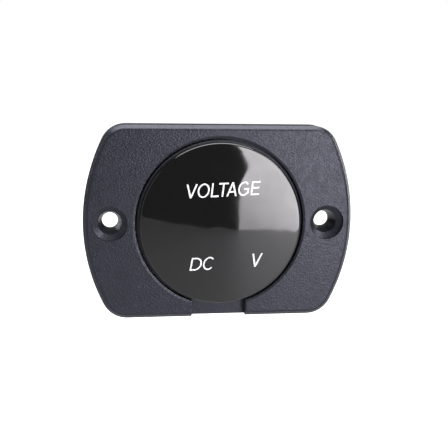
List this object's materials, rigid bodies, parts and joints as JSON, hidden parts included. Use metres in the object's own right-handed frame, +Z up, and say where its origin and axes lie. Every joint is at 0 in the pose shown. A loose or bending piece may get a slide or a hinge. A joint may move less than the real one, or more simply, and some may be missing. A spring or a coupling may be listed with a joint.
{
  "type": "panel voltmeter with surface mounting plate",
  "caption": "Round digital DC voltmeter with a gloss black lens, clamped by a rear ring nut in a flat two-screw mounting plate with a notch in its lower edge.",
  "frame": {"origin": "on the meter's axis, midway between the two mounting screws, in the plane of the mounting plate's back face", "axes": "+Z up, +X to the right as seen from the front, the lens faces -Y and +Y points into the panel"},
  "size_m": [0.062, 0.0421, 0.0444],
  "materials": {
    "plate_plastic": "moulded, fine grain, blue-black",
    "housing_plastic": "moulded, black",
    "lens_smoked": "polished smoked acrylic, nearly opaque black",
    "gasket_rubber": "soft black rubber",
    "clear_adhesive": "cured clear adhesive",
    "mask_black": "flat black film",
    "display_grey": "moulded grey display block",
    "segment_milky": "milky diffuser resin",
    "tinned_pin": "bright tinned wire",
    "board_green": "green solder mask over glass epoxy",
    "solder": "bright solder",
    "chip_epoxy": "black moulding epoxy",
    "resistor_body": "glazed chip resistor",
    "capacitor_body": "tan ceramic",
    "can_aluminium": "drawn can",
    "trimmer_body": "blue moulded body",
    "screw_steel": "zinc plated steel",
    "lead_red": "soft PVC insulation, red",
    "lead_black": "soft PVC insulation, black",
    "cap_plastic": "moulded, black, fine matte",
    "terminal_brass": "tin plated brass",
    "washer_fibre": "black fibre washer",
    "nut_plastic": "glass filled nylon, black",
    "legend_ink": "screen printed white ink on the lens"
  },
  "bodies": {
    "plate": {"mounting_plate": "plate_plastic"},
    "meter": {"meter_housing": "housing_plastic", "front_lens": "lens_smoked", "flange_gasket": "gasket_rubber", "lens_adhesive_ring": "clear_adhesive", "light_mask": "mask_black", "display_module": "display_grey", "display_segments": "segment_milky", "display_pins": "tinned_pin", "display_board": "board_green", "solder_joints": "solder", "controller_chip": "chip_epoxy", "voltage_regulator": "chip_epoxy", "protection_diode": "chip_epoxy", "chip_resistors": "resistor_body", "chip_capacitors": "capacitor_body", "electrolytic_capacitor": "can_aluminium", "trimmer": "trimmer_body", "board_screws": "screw_steel", "positive_lead": "lead_red", "negative_lead": "lead_black", "rear_cap": "cap_plastic", "positive_terminal": "terminal_brass", "negative_terminal": "terminal_brass"},
    "washer": {"rear_washer": "washer_fibre"},
    "nut": {"ring_nut": "nut_plastic"}
  },
  "joints": [
    {"name": "meter_turn", "type": "hinge", "parent": "plate", "child": "meter", "pos_m": [0, 0, 0], "axis": [0, 1, 0], "continuous": true},
    {"name": "nut_advance", "type": "slide", "parent": "meter", "child": "washer", "axis": [0, 1, 0], "range_m": [0, 0.014]},
    {"name": "nut_turn", "type": "hinge", "parent": "washer", "child": "nut", "pos_m": [0, 0, 0], "axis": [0, 1, 0], "range_deg": [0, 2520]}
  ],
  "couplings": [
    {"joint": "nut_advance", "follows": "nut_turn", "m_per_rad": 0.00031831}
  ]
}
